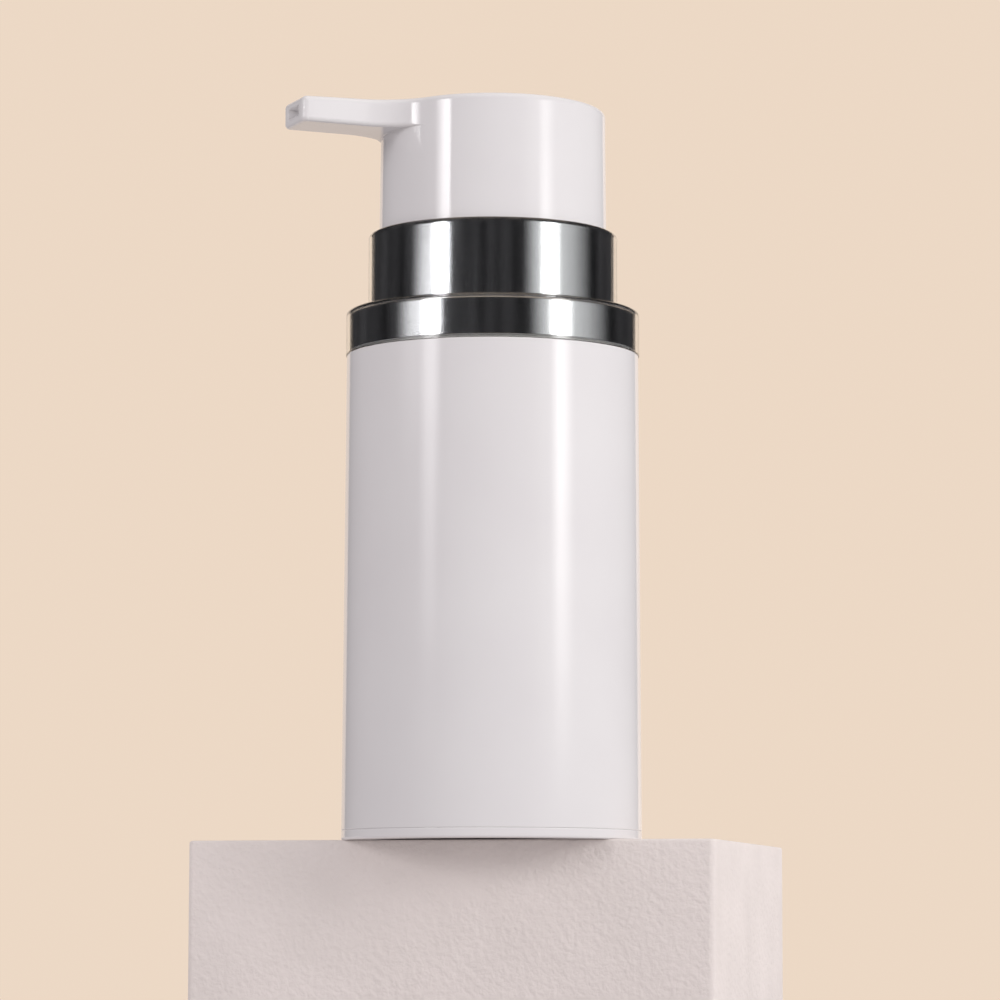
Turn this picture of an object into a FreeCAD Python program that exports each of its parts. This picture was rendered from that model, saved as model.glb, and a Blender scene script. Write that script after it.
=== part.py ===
import FreeCAD
import Part
import math
import os
from types import SimpleNamespace

import Sketcher

# An airless pump bottle of the 100 ml class, in millimetres, standing on z = 0 with its axis on Z.
# The spout points along -X. A follower piston rises in the inner bottle as the pump draws from above it.

SIZES = {
    # White outer shell and inner bottle
    "body_radius": 26.0,
    "body_taper": 0.5,
    "body_height": 84.3,
    "shell_wall": 1.3,
    "seam_round": 0.15,
    "bottle_gap": 0.2,
    "bottle_wall": 1.9,
    "shoulder_thickness": 1.6,
    "shoulder_drop": 0.1,
    "shoulder_round": 1.2,
    "neck_wall": 1.8,
    "neck_height": 9.8,
    "bead_height": 0.4,
    "bead_width": 1.6,
    # Base cap
    "flange_height": 1.7,
    "foot_width": 5.0,
    "foot_recess": 0.8,
    "foot_round": 0.4,
    "base_floor": 1.6,
    "plug_wall": 1.3,
    "plug_height": 4.8,
    "plug_clearance": 0.1,
    "vent_radius": 1.2,
    # Follower piston
    "follower_height": 11.0,
    "follower_skirt": 1.1,
    "follower_web": 1.2,
    "follower_cup": 1.5,
    "lip_fit": 0.05,
    "lip_height": 1.6,
    "lip_flare": 0.35,
    "well_radius": 8.0,
    "rim_clearance": 0.4,
    "well_clearance": 0.5,
    # Neck gasket and closure cap
    "gasket_thickness": 1.0,
    "gasket_width": 2.6,
    "closure_clearance": 0.1,
    "skirt_clearance": 0.4,
    "closure_wall": 1.5,
    "closure_top": 1.5,
    "closure_flange": 2.0,
    "ring_wall": 1.3,
    "ring_fit": 0.08,
    "ring_headroom": 0.1,
    # Chrome collar and its clear cover
    "head_gap": 0.2,
    "chrome_wall": 0.72,
    "chrome_plate": 0.8,
    "chrome_lift": 0.6,
    "chrome_round": 0.25,
    "cover_gap": 0.1,
    "cover_wall": 0.85,
    "cover_plate": 0.65,
    "cover_round": 0.7,
    "collar_proud": 0.15,
    "step_height": 7.7,
    "step_width": 3.83,
    "collar_height": 21.35,
    # Pump housing, inlet valve and stem guide
    "pump_bore": 5.5,
    "pump_wall": 1.4,
    "flange_thickness": 1.2,
    "tower_height": 8.4,
    "hole_clearance": 0.3,
    "ball_radius": 2.5,
    "ball_lift": 1.5,
    "ball_clearance": 0.1,
    "ball_room": 0.7,
    "seat_clearance": 0.02,
    "inlet_radius": 1.5,
    "inlet_length": 2.3,
    "cage_thickness": 2.0,
    "cage_fit": 0.05,
    "cage_hub": 1.2,
    "cage_rim": 1.0,
    "cage_slot": 1.8,
    "guide_plate": 1.4,
    "guide_wall": 0.6,
    "guide_skirt": 4.0,
    "guide_fit": 0.05,
    # Stem, valve rod and pump piston
    "stroke": 12.0,
    "stroke_clearance": 0.5,
    "cage_clearance": 1.3,
    "stem_radius": 3.4,
    "stem_bore": 2.2,
    "stem_fit": 0.08,
    "stop_width": 1.2,
    "stop_thickness": 1.0,
    "seal_thickness": 0.8,
    "seal_fit": 0.05,
    "spring_seat": 1.2,
    "seat_margin": 0.4,
    "port_width": 1.4,
    "port_height": 0.7,
    "poppet_radius": 4.4,
    "poppet_thickness": 1.2,
    "rod_length": 4.0,
    "rod_fit": 0.03,
    "flute_radius": 0.8,
    "piston_lag": 0.8,
    "lag_clearance": 0.1,
    "piston_height": 5.7,
    "piston_hub": 0.7,
    "piston_lip": 0.5,
    "piston_waist": 0.2,
    "piston_web": 1.4,
    "lip_setback": 0.3,
    # Return spring
    "wire_diameter": 1.0,
    "coil_clearance": 0.45,
    "end_pitch": 1.5,
    # Head with spout
    "head_draft": 0.2,
    "head_thickness": 5.1,
    "skirt_wall": 1.45,
    "skirt_overlap": 2.65,
    "skirt_round": 0.4,
    "crown_radius": 1150.0,
    "edge_round": 0.65,
    "under_round": 0.4,
    "spout_reach": 37.5,
    "spout_width": 9.6,
    "spout_blend": 11.0,
    "spout_corner": 0.2,
    "channel_width": 5.1,
    "channel_height": 1.9,
    "channel_floor": 1.3,
    "duct_wall": 1.6,
    "top_wall": 1.6,
    "socket_wall": 1.75,
    "socket_height": 2.9,
    "socket_fit": 0.05,
    "rib_thickness": 1.1,
    "rib_depth": 4.4,
}

CAGE_SLOTS = 4
STEM_PORTS = 4
ROD_FLUTES = 4
HEAD_RIBS = 6
SPRING_TURNS = 6
END_TURNS = 1
CHANGE_TURNS = 0.5
ARCS_PER_TURN = 4
SPOTS_PER_TURN = 48


class Size:
    """A length that carries its value and the sheet formula that gives it."""

    def __init__(self, value, formula):
        self.value = value
        self.formula = formula

    def __add__(self, other):
        return Size(self.value + other.value, f"({self.formula} + {other.formula})")

    def __sub__(self, other):
        return Size(self.value - other.value, f"({self.formula} - {other.formula})")

    def __mul__(self, factor):
        return Size(self.value * factor, f"({self.formula} * {factor})")

    def __truediv__(self, divisor):
        return Size(self.value / divisor, f"({self.formula} / {divisor})")

    def __neg__(self):
        return Size(-self.value, f"(-{self.formula})")


ZERO = Size(0.0, "0")

doc = FreeCAD.newDocument("airless_pump_bottle")
sheet = doc.addObject("Spreadsheet::Sheet", "Sizes")
for row, (name, number) in enumerate(SIZES.items(), start=1):
    sheet.set(f"A{row}", name)
    sheet.set(f"B{row}", str(number))
    sheet.setAlias(f"B{row}", name)
doc.recompute()
size = SimpleNamespace(**{name: Size(sheet.get(name), f"Sizes.{name}") for name in SIZES})


# Radii and heights that several pieces share

sleeve_radius = size.body_radius - size.shell_wall - size.bottle_gap
bore_radius = sleeve_radius - size.bottle_wall
plug_radius = bore_radius - size.plug_clearance
plug_top = size.flange_height + size.plug_height
floor_top = size.foot_recess + size.base_floor
shoulder_top = size.body_height - size.shoulder_drop
shoulder_under = shoulder_top - size.shoulder_thickness
neck_top = shoulder_top + size.neck_height
bead_middle = shoulder_top + size.neck_height / 2

step_radius = size.body_radius - size.body_taper + size.collar_proud
step_bore = step_radius - size.cover_wall
chrome_step = step_bore - size.cover_gap
chrome_step_bore = chrome_step - size.chrome_wall
cover_radius = step_radius - size.step_width
cover_bore = cover_radius - size.cover_wall
chrome_radius = cover_bore - size.cover_gap
collar_bore = chrome_radius - size.chrome_wall
skirt_radius = collar_bore - size.head_gap
head_radius = skirt_radius - size.head_draft
skirt_inner = head_radius - size.skirt_wall
closure_outer = skirt_inner - size.skirt_clearance
closure_inner = closure_outer - size.closure_wall
neck_radius = closure_inner - size.closure_clearance
neck_bore = neck_radius - size.neck_wall

flange_under = neck_top + size.gasket_thickness
flange_top = flange_under + size.flange_thickness
tower_radius = size.pump_bore + size.pump_wall
tower_top = flange_top + size.tower_height
guide_top = tower_top + size.guide_plate
guide_radius = tower_radius + size.guide_fit + size.guide_wall
closure_top = flange_top + size.closure_top

seat_under = guide_top + size.stroke + size.stroke_clearance
seat_top = seat_under + size.spring_seat
stop_top = tower_top - size.seal_thickness
stop_under = stop_top - size.stop_thickness
piston_top = stop_under - size.piston_lag - size.lag_clearance
piston_under = piston_top - size.piston_height
poppet_under = piston_under - size.poppet_thickness
cage_top = poppet_under - size.stroke - size.cage_clearance
cage_under = cage_top - size.cage_thickness
ball_centre = cage_under - size.ball_clearance - size.ball_lift - size.ball_radius
ball_room = size.ball_radius + size.ball_room
seat_reach = size.ball_radius * math.sqrt(2.0)
seat_apex = ball_centre - seat_reach - size.seat_clearance
inlet_under = seat_apex + size.inlet_radius - size.inlet_length

follower_top = plug_top + size.follower_height
follower_travel = shoulder_under - size.rim_clearance - follower_top
well_floor = inlet_under - size.well_clearance - follower_travel

coil_radius = guide_radius + size.coil_clearance + size.wire_diameter / 2
seat_radius = coil_radius + size.wire_diameter / 2 + size.seat_margin

slab_under = seat_top + size.socket_height
crown_top = slab_under + size.head_thickness
ceiling = crown_top - size.top_wall
socket_bore = size.stem_radius + size.socket_fit
socket_radius = socket_bore + size.socket_wall
channel_under = slab_under + size.channel_floor
channel_top = channel_under + size.channel_height
collar_top = size.body_height + size.collar_height
skirt_under = collar_top - size.skirt_overlap

step_top = size.body_height + size.step_height
cover_plate_under = step_top - size.cover_plate
chrome_plate_top = cover_plate_under - size.cover_gap / 2
chrome_plate_under = chrome_plate_top - size.chrome_plate


def new_body(label):
    """An empty body under its own label."""
    body = doc.addObject("PartDesign::Body", label)
    body.Label = label
    return body


def new_sketch(body, role, height=None):
    """A sketch on one of the body's own origin planes, lifted along the plane's normal by the height."""
    sketch = body.newObject("Sketcher::SketchObject", f"{body.Label}_sketch")
    plane = next(feature for feature in body.Origin.OriginFeatures if feature.Role == role)
    sketch.AttachmentSupport = [(plane, "")]
    sketch.MapMode = "FlatFace"
    if height is not None:
        sketch.setExpression("AttachmentOffset.Base.z", height.formula)
    return sketch


def bind(sketch, constraint, length):
    """Adds a dimension to the sketch and ties it to the length's formula."""
    index = sketch.addConstraint(constraint)
    sketch.setExpression(f"Constraints[{index}]", length.formula)


def bind_radius(sketch, shape, radius):
    """Ties the radius of an arc or a circle to a length."""
    bind(sketch, Sketcher.Constraint("Radius", shape, radius.value), radius)


def place_point(sketch, shape, end, across, along):
    """Holds a point of the sketch at the two distances from its origin."""
    for kind, axis, length in (("DistanceX", -2, across), ("DistanceY", -1, along)):
        if length is ZERO:
            sketch.addConstraint(Sketcher.Constraint("PointOnObject", shape, end, axis))
        else:
            bind(sketch, Sketcher.Constraint(kind, -1, 1, shape, end, length.value), length)


def draw_loop(sketch, corners):
    """A closed loop of straight lines; a corner with a third value is rounded by that radius."""
    spots = [FreeCAD.Vector(corner[0].value, corner[1].value, 0) for corner in corners]
    arrive, leave, arcs = {}, {}, {}
    for index, corner in enumerate(corners):
        arrive[index] = leave[index] = spots[index]
        if len(corner) == 3:
            back = (spots[index - 1] - spots[index]).normalize()
            ahead = (spots[(index + 1) % len(spots)] - spots[index]).normalize()
            half = back.getAngle(ahead) / 2
            arrive[index] = spots[index] + back * (corner[2].value / math.tan(half))
            leave[index] = spots[index] + ahead * (corner[2].value / math.tan(half))
            middle = (back + ahead).normalize()
            centre = spots[index] + middle * (corner[2].value / math.sin(half))
            nearest = spots[index] + middle * (corner[2].value / math.sin(half) - corner[2].value)
            arcs[index] = (Part.Arc(arrive[index], nearest, leave[index]), centre)
    count = len(corners)
    lines = [
        sketch.addGeometry(Part.LineSegment(leave[index], arrive[(index + 1) % count]))
        for index in range(count)
    ]
    for index, corner in enumerate(corners):
        before, after = lines[index - 1], lines[index]
        if index not in arcs:
            sketch.addConstraint(Sketcher.Constraint("Coincident", before, 2, after, 1))
            place_point(sketch, after, 1, corner[0], corner[1])
            continue
        arc = sketch.addGeometry(arcs[index][0])
        starts_here = sketch.getPoint(arc, 1).distanceToPoint(arrive[index]) < 1e-6
        first, last = (1, 2) if starts_here else (2, 1)
        sketch.addConstraint(Sketcher.Constraint("Tangent", before, 2, arc, first))
        sketch.addConstraint(Sketcher.Constraint("Tangent", arc, last, after, 1))
        bind_radius(sketch, arc, corner[2])
        point = sketch.addGeometry(Part.Point(spots[index]), True)
        sketch.addConstraint(Sketcher.Constraint("PointOnObject", point, 1, before))
        sketch.addConstraint(Sketcher.Constraint("PointOnObject", point, 1, after))
        place_point(sketch, point, 1, corner[0], corner[1])


def draw_circle(sketch, across, along, radius):
    """A circle about the point."""
    centre = FreeCAD.Vector(across.value, along.value, 0)
    circle = sketch.addGeometry(Part.Circle(centre, FreeCAD.Vector(0, 0, 1), radius.value))
    place_point(sketch, circle, 3, across, along)
    bind_radius(sketch, circle, radius)


def add_feature(body, kind, sketch):
    """A feature of the given kind on the sketch."""
    feature = body.newObject(f"PartDesign::{kind}", f"{body.Label}_{kind.lower()}")
    feature.Profile = sketch
    return feature


def turn(body, corners, kind="Revolution"):
    """Turns a profile of radius and height corners about the axis; a Groove takes that form away."""
    sketch = new_sketch(body, "XZ_Plane")
    draw_loop(sketch, corners)
    feature = add_feature(body, kind, sketch)
    feature.ReferenceAxis = (sketch, ["V_Axis"])
    feature.Angle = 360
    doc.recompute()
    return feature


def extrude(body, kind, sketch, length, both_ways=False, reverse=False):
    """A pad or pocket of the sketch, by the length from its plane or by half of it to either side."""
    feature = add_feature(body, kind, sketch)
    feature.setExpression("Length", length.formula)
    feature.SideType = "Symmetric" if both_ways else "One side"
    feature.Reversed = reverse
    doc.recompute()
    return feature


def repeat(body, feature, count):
    """Copies of the feature, spaced evenly round the axis."""
    pattern = body.newObject("PartDesign::PolarPattern", f"{body.Label}_pattern")
    pattern.Originals = [feature]
    axis = next(item for item in body.Origin.OriginFeatures if item.Role == "Z_Axis")
    pattern.Axis = (axis, [""])
    pattern.Angle = 360
    pattern.Occurrences = count
    body.Tip = pattern
    doc.recompute()


def box_corners(left, right, low, high):
    """The four corners of an upright rectangle."""
    return [(left, low), (right, low), (right, high), (left, high)]


def make_base_cap():
    """White base: foot ring flush with the shell, vented floor, and a plug that closes the bottle's bore."""
    body = new_body("base_cap")
    plug_inner = plug_radius - size.plug_wall
    turn(body, [
        (ZERO, size.foot_recess),
        (size.body_radius - size.foot_width, size.foot_recess),
        (size.body_radius - size.foot_width, ZERO),
        (size.body_radius, ZERO, size.foot_round),
        (size.body_radius, size.flange_height, size.seam_round),
        (plug_radius, size.flange_height),
        (plug_radius, plug_top),
        (plug_inner, plug_top),
        (plug_inner, floor_top),
        (ZERO, floor_top),
    ])
    vent = new_sketch(body, "XY_Plane", floor_top)
    draw_circle(vent, ZERO, ZERO, size.vent_radius)
    extrude(body, "Pocket", vent, size.base_floor)
    return body


def make_outer_shell():
    """White sleeve that stands on the foot ring round the bottle, a little narrower at the top."""
    body = new_body("outer_shell")
    top_radius = size.body_radius - size.body_taper
    turn(body, [
        (size.body_radius - size.shell_wall, size.flange_height),
        (size.body_radius, size.flange_height, size.seam_round),
        (top_radius, size.body_height, size.seam_round),
        (top_radius - size.shell_wall, size.body_height),
    ])
    return body


def make_inner_bottle():
    """White bottle: straight bore for the follower, rounded shoulder, and a neck with a snap bead."""
    body = new_body("inner_bottle")
    turn(body, [
        (bore_radius, size.flange_height),
        (sleeve_radius, size.flange_height),
        (sleeve_radius - size.body_taper, shoulder_top, size.shoulder_round),
        (neck_radius, shoulder_top),
        (neck_radius, bead_middle - size.bead_width / 2),
        (neck_radius + size.bead_height, bead_middle),
        (neck_radius, bead_middle + size.bead_width / 2),
        (neck_radius, neck_top),
        (neck_bore, neck_top),
        (neck_bore, shoulder_under),
        (bore_radius, shoulder_under),
    ])
    return body


def make_follower():
    """Follower piston: two wiping lips, a web, and a well that takes the pump's nose at the end of travel."""
    body = new_body("follower_piston")
    lip = bore_radius - size.lip_fit
    waist = lip - size.lip_flare
    inner = waist - size.follower_skirt
    web_top = follower_top - size.follower_cup
    web_under = web_top - size.follower_web
    well_outer = size.well_radius + size.follower_web
    turn(body, [
        (ZERO, well_floor - size.follower_web),
        (well_outer, well_floor - size.follower_web),
        (well_outer, web_under),
        (inner, web_under),
        (inner, plug_top),
        (lip, plug_top),
        (waist, plug_top + size.lip_height),
        (waist, follower_top - size.lip_height),
        (lip, follower_top),
        (inner, follower_top),
        (inner, web_top),
        (size.well_radius, web_top),
        (size.well_radius, well_floor),
        (ZERO, well_floor),
    ])
    return body


def make_neck_gasket():
    """Flat ring between the neck and the pump's flange."""
    body = new_body("neck_gasket")
    sketch = new_sketch(body, "XY_Plane", neck_top)
    draw_circle(sketch, ZERO, ZERO, neck_radius)
    draw_circle(sketch, ZERO, ZERO, neck_radius - size.gasket_width)
    extrude(body, "Pad", sketch, size.gasket_thickness)
    return body


def make_closure_cap():
    """Cap that clamps the pump on the neck, with an outer ring that carries the chrome collar."""
    body = new_body("closure_cap")
    ring = chrome_step_bore - size.ring_fit
    ring_top = chrome_plate_under - size.ring_headroom
    flange = shoulder_top + size.closure_flange
    hole = tower_radius + size.hole_clearance
    turn(body, [
        (closure_inner, shoulder_top),
        (ring, shoulder_top),
        (ring, ring_top),
        (ring - size.ring_wall, ring_top),
        (ring - size.ring_wall, flange),
        (closure_outer, flange),
        (closure_outer, closure_top),
        (hole, closure_top),
        (hole, flange_top),
        (closure_inner, flange_top),
        (closure_inner, bead_middle + size.bead_width / 2),
        (closure_inner + size.bead_height, bead_middle),
        (closure_inner, bead_middle - size.bead_width / 2),
    ])
    return body


def make_chrome_collar():
    """Thin plated collar in two steps: a wide ring over the shoulder and a tall one round the head."""
    body = new_body("chrome_collar")
    turn(body, [
        (collar_bore, chrome_plate_under),
        (collar_bore, collar_top),
        (chrome_radius, collar_top, size.chrome_round),
        (chrome_radius, chrome_plate_top),
        (chrome_step, chrome_plate_top, size.chrome_round),
        (chrome_step, size.body_height + size.chrome_lift),
        (chrome_step_bore, size.body_height + size.chrome_lift),
        (chrome_step_bore, chrome_plate_under),
    ])
    return body


def make_clear_collar():
    """Clear cover over the chrome, with the same two steps and rounded outer rims."""
    body = new_body("clear_collar")
    turn(body, [
        (cover_bore, cover_plate_under),
        (cover_bore, collar_top),
        (cover_radius, collar_top, size.cover_round),
        (cover_radius, step_top),
        (step_radius, step_top, size.cover_round),
        (step_radius, size.body_height),
        (step_bore, size.body_height),
        (step_bore, cover_plate_under),
    ])
    return body


def make_pump_housing():
    """Pump chamber hung in the neck by its flange, with a ball room and a seat at the foot."""
    body = new_body("pump_housing")
    nose = ball_room + size.pump_wall
    shelf = cage_under - size.pump_wall
    turn(body, [
        (size.inlet_radius, inlet_under),
        (nose, inlet_under),
        (nose, shelf),
        (tower_radius, cage_under),
        (tower_radius, flange_under),
        (neck_radius, flange_under),
        (neck_radius, flange_top),
        (tower_radius, flange_top),
        (tower_radius, tower_top),
        (size.pump_bore, tower_top),
        (size.pump_bore, cage_under),
        (ball_room, cage_under),
        (ball_room, seat_apex + ball_room),
        (size.inlet_radius, seat_apex + size.inlet_radius),
    ])
    return body


def make_inlet_ball():
    """Ball of the inlet valve, on its seat."""
    ball = doc.addObject("Part::Sphere", "inlet_ball")
    ball.Label = "inlet_ball"
    ball.setExpression("Radius", size.ball_radius.formula)
    ball.setExpression("Placement.Base.z", ball_centre.formula)
    doc.recompute()
    return ball


def make_ball_cage():
    """Pressed-in disc that stops the ball, with slots for the flow round its hub."""
    body = new_body("ball_cage")
    radius = size.pump_bore - size.cage_fit
    turn(body, box_corners(ZERO, radius, cage_under, cage_top))
    slot = new_sketch(body, "XY_Plane", cage_top)
    half = size.cage_slot / 2
    draw_loop(slot, box_corners(size.cage_hub, radius - size.cage_rim, -half, half))
    cut = extrude(body, "Pocket", slot, size.cage_thickness)
    repeat(body, cut, CAGE_SLOTS)
    return body


def make_stem_guide():
    """Cap on the pump's tower that guides the stem and stops its rise."""
    body = new_body("stem_guide")
    sleeve = tower_radius + size.guide_fit
    bore = size.stem_radius + size.stem_fit
    turn(body, [
        (bore, tower_top),
        (sleeve, tower_top),
        (sleeve, tower_top - size.guide_skirt),
        (guide_radius, tower_top - size.guide_skirt),
        (guide_radius, guide_top),
        (bore, guide_top),
    ])
    return body


def make_stem_seal():
    """Soft ring under the guide that the stem's stop presses shut at rest."""
    body = new_body("stem_seal")
    sketch = new_sketch(body, "XY_Plane", stop_top)
    draw_circle(sketch, ZERO, ZERO, size.pump_bore - size.seal_fit)
    draw_circle(sketch, ZERO, ZERO, size.stem_radius + size.stem_fit)
    extrude(body, "Pad", sketch, size.seal_thickness)
    return body


def make_stem():
    """Hollow stem: ports at the foot, a stop below the guide, and a seat for the spring under the head."""
    body = new_body("stem")
    tip = slab_under - size.socket_fit
    stop = size.stem_radius + size.stop_width
    turn(body, [
        (size.stem_bore, piston_under),
        (size.stem_radius, piston_under),
        (size.stem_radius, stop_under),
        (stop, stop_under),
        (stop, stop_top),
        (size.stem_radius, stop_top),
        (size.stem_radius, seat_under),
        (seat_radius, seat_under),
        (seat_radius, seat_top),
        (size.stem_radius, seat_top),
        (size.stem_radius, tip),
        (size.stem_bore, tip),
    ])
    port = new_sketch(body, "XZ_Plane")
    half = size.port_width / 2
    draw_loop(port, box_corners(-half, half, piston_under, piston_under + size.port_height))
    cut = extrude(body, "Pocket", port, size.stem_radius, reverse=True)
    repeat(body, cut, STEM_PORTS)
    return body


def make_valve_rod():
    """Plug in the stem's foot: a poppet that the piston seals on and a fluted shank for the flow."""
    body = new_body("valve_rod")
    shank = size.stem_bore - size.rod_fit
    turn(body, [
        (ZERO, poppet_under),
        (size.poppet_radius, poppet_under),
        (size.poppet_radius, piston_under),
        (shank, piston_under),
        (shank, piston_under + size.rod_length),
        (ZERO, piston_under + size.rod_length),
    ])
    flute = new_sketch(body, "XY_Plane", piston_under + size.rod_length)
    draw_circle(flute, shank, ZERO, size.flute_radius)
    cut = extrude(body, "Pocket", flute, size.rod_length)
    repeat(body, cut, ROD_FLUTES)
    return body


def make_pump_piston():
    """Sliding piston on the stem: a hub that shuts the ports and two lips that wipe the chamber."""
    body = new_body("pump_piston")
    bore = size.stem_radius + size.stem_fit
    hub = bore + size.piston_hub
    lip = size.pump_bore - size.lip_fit
    lip_inner = lip - size.piston_lip
    middle = piston_under + size.piston_height / 2
    web = size.piston_web / 2
    lip_low = piston_under + size.lip_setback
    lip_high = piston_top - size.lip_setback
    turn(body, [
        (bore, piston_under),
        (hub, piston_under),
        (hub, middle - web),
        (lip_inner, middle - web),
        (lip_inner, lip_low),
        (lip, lip_low),
        (lip - size.piston_waist, middle),
        (lip, lip_high),
        (lip_inner, lip_high),
        (lip_inner, middle + web),
        (hub, middle + web),
        (hub, piston_top),
        (bore, piston_top),
    ])
    return body


def spring_point(angle, reach, rise):
    """The place and the direction of the wire's centre line at the angle.

    Over the end turns it climbs by the end pitch, and between them by a steady pitch that fills the rise.
    """
    turns = angle / (2 * math.pi)
    ends = size.end_pitch.value
    quiet = 2 * END_TURNS + CHANGE_TURNS
    steady = (rise - ends * quiet) / (SPRING_TURNS - quiet)
    slowing = SPRING_TURNS - END_TURNS - CHANGE_TURNS
    climb = 0.0
    pitch = ends
    for start, change in ((END_TURNS, steady - ends), (slowing, ends - steady)):
        past = min(max(turns - start, 0.0), CHANGE_TURNS)
        climb += change * (past * past / (2 * CHANGE_TURNS) + max(turns - start - CHANGE_TURNS, 0.0))
        pitch += change * past / CHANGE_TURNS
    place = FreeCAD.Vector(reach * math.cos(angle), reach * math.sin(angle), ends * turns + climb)
    direction = FreeCAD.Vector(-reach * math.sin(angle), reach * math.cos(angle), pitch / (2 * math.pi))
    return place, direction.normalize()


def crest_of(near, way, far):
    """The middle of the arc that leaves the near point along the direction and ends at the far point."""
    across = far - near
    half = way.getAngle(across) / 2
    toward = (way + across / across.Length).normalize()
    return near + toward * (across.Length / (2 * math.cos(half)))


def biarc(start, start_way, end, end_way):
    """Two arcs in one sweep that leave the start and reach the end along the given directions."""
    chord = end - start
    square = 2 * (1 - start_way.dot(end_way))
    slope = chord.dot(start_way + end_way)
    reach = (math.sqrt(slope * slope + square * chord.dot(chord)) - slope) / square
    joint = (start + end + (start_way - end_way) * reach) / 2
    first = Part.Arc(start, crest_of(start, start_way, joint), joint)
    second = Part.Arc(joint, crest_of(end, -end_way, joint), end)
    return [first.toShape(), second.toShape()]


def make_return_spring():
    """Steel compression spring round the guide, from the closure cap up to the stem's seat."""
    spring = doc.addObject("Part::Feature", "return_spring")
    spring.Label = "return_spring"
    wire = size.wire_diameter.value
    reach = coil_radius.value
    rise = seat_under.value - closure_top.value - wire
    quarter = 2 * math.pi / ARCS_PER_TURN
    stops = [spring_point(step * quarter, reach, rise) for step in range(ARCS_PER_TURN * SPRING_TURNS + 1)]
    edges = []
    for (start, start_way), (end, end_way) in zip(stops, stops[1:]):
        edges.extend(biarc(start, start_way, end, end_way))
    path = Part.Wire(edges)
    circle = Part.Wire(Part.Circle(stops[0][0], stops[0][1], wire / 2).toShape())
    spring.Shape = path.makePipeShell([circle], True, False)
    spring.Placement = FreeCAD.Placement(
        FreeCAD.Vector(0, 0, closure_top.value + wire / 2), FreeCAD.Rotation()
    )
    fine = 2 * math.pi / SPOTS_PER_TURN
    spots = [spring_point(step * fine, reach, rise)[0] for step in range(SPOTS_PER_TURN * SPRING_TURNS + 1)]
    gap = min(
        spots[first].distanceToPoint(spots[second]) - wire
        for first in range(len(spots))
        for second in range(first + SPOTS_PER_TURN // 2, len(spots))
    )
    print(f"return_spring: least gap between turns {gap:.2f} mm")
    return spring


def draw_head_plan(sketch):
    """The head from above: its circle runs through two hollow blends into the straight spout."""
    tip_corner = size.edge_round + size.spout_corner
    reach, half = size.spout_reach.value, size.spout_width.value / 2
    head, blend, corner = head_radius.value, size.spout_blend.value, tip_corner.value
    up = FreeCAD.Vector(0, 0, 1)
    side = half + blend
    back = -math.sqrt((head + blend) ** 2 - side ** 2)
    lean = math.atan2(side, -back)
    turn_back = math.pi - lean
    circle = Part.Circle(FreeCAD.Vector(0, 0, 0), up, head)
    rim = sketch.addGeometry(Part.ArcOfCircle(circle, -turn_back, turn_back))
    parts = {}
    for sign in (1, -1):
        hollow = Part.Circle(FreeCAD.Vector(back, sign * side, 0), up, blend)
        angles = (-math.pi / 2, -lean) if sign > 0 else (lean, math.pi / 2)
        parts[sign, "hollow"] = sketch.addGeometry(Part.ArcOfCircle(hollow, *angles))
        start = FreeCAD.Vector(back, sign * half, 0)
        end = FreeCAD.Vector(-reach + corner, sign * half, 0)
        parts[sign, "side"] = sketch.addGeometry(Part.LineSegment(start, end))
        bend = Part.Circle(FreeCAD.Vector(-reach + corner, sign * (half - corner), 0), up, corner)
        angles = (math.pi / 2, math.pi) if sign > 0 else (math.pi, 3 * math.pi / 2)
        parts[sign, "bend"] = sketch.addGeometry(Part.ArcOfCircle(bend, *angles))
    tip = sketch.addGeometry(Part.LineSegment(
        FreeCAD.Vector(-reach, half - corner, 0), FreeCAD.Vector(-reach, corner - half, 0)))
    sketch.addConstraint(Sketcher.Constraint("Coincident", rim, 3, -1, 1))
    bind_radius(sketch, rim, head_radius)
    for sign in (1, -1):
        hollow, flank, bend = (parts[sign, name] for name in ("hollow", "side", "bend"))
        rim_end, hollow_rim, hollow_flank = (2, 2, 1) if sign > 0 else (1, 1, 2)
        bend_flank, bend_tip, tip_end = (1, 2, 1) if sign > 0 else (2, 1, 2)
        sketch.addConstraint(Sketcher.Constraint("Tangent", rim, rim_end, hollow, hollow_rim))
        sketch.addConstraint(Sketcher.Constraint("Tangent", hollow, hollow_flank, flank, 1))
        sketch.addConstraint(Sketcher.Constraint("Tangent", flank, 2, bend, bend_flank))
        sketch.addConstraint(Sketcher.Constraint("Tangent", bend, bend_tip, tip, tip_end))
        sketch.addConstraint(Sketcher.Constraint("Horizontal", flank))
        bind_radius(sketch, hollow, size.spout_blend)
        bind_radius(sketch, bend, tip_corner)
        offset = size.spout_width * (sign / 2)
        bind(sketch, Sketcher.Constraint("DistanceY", -1, 1, flank, 1, offset.value), offset)
    bind(sketch, Sketcher.Constraint("DistanceX", -1, 1, tip, 1, -reach), -size.spout_reach)


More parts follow.
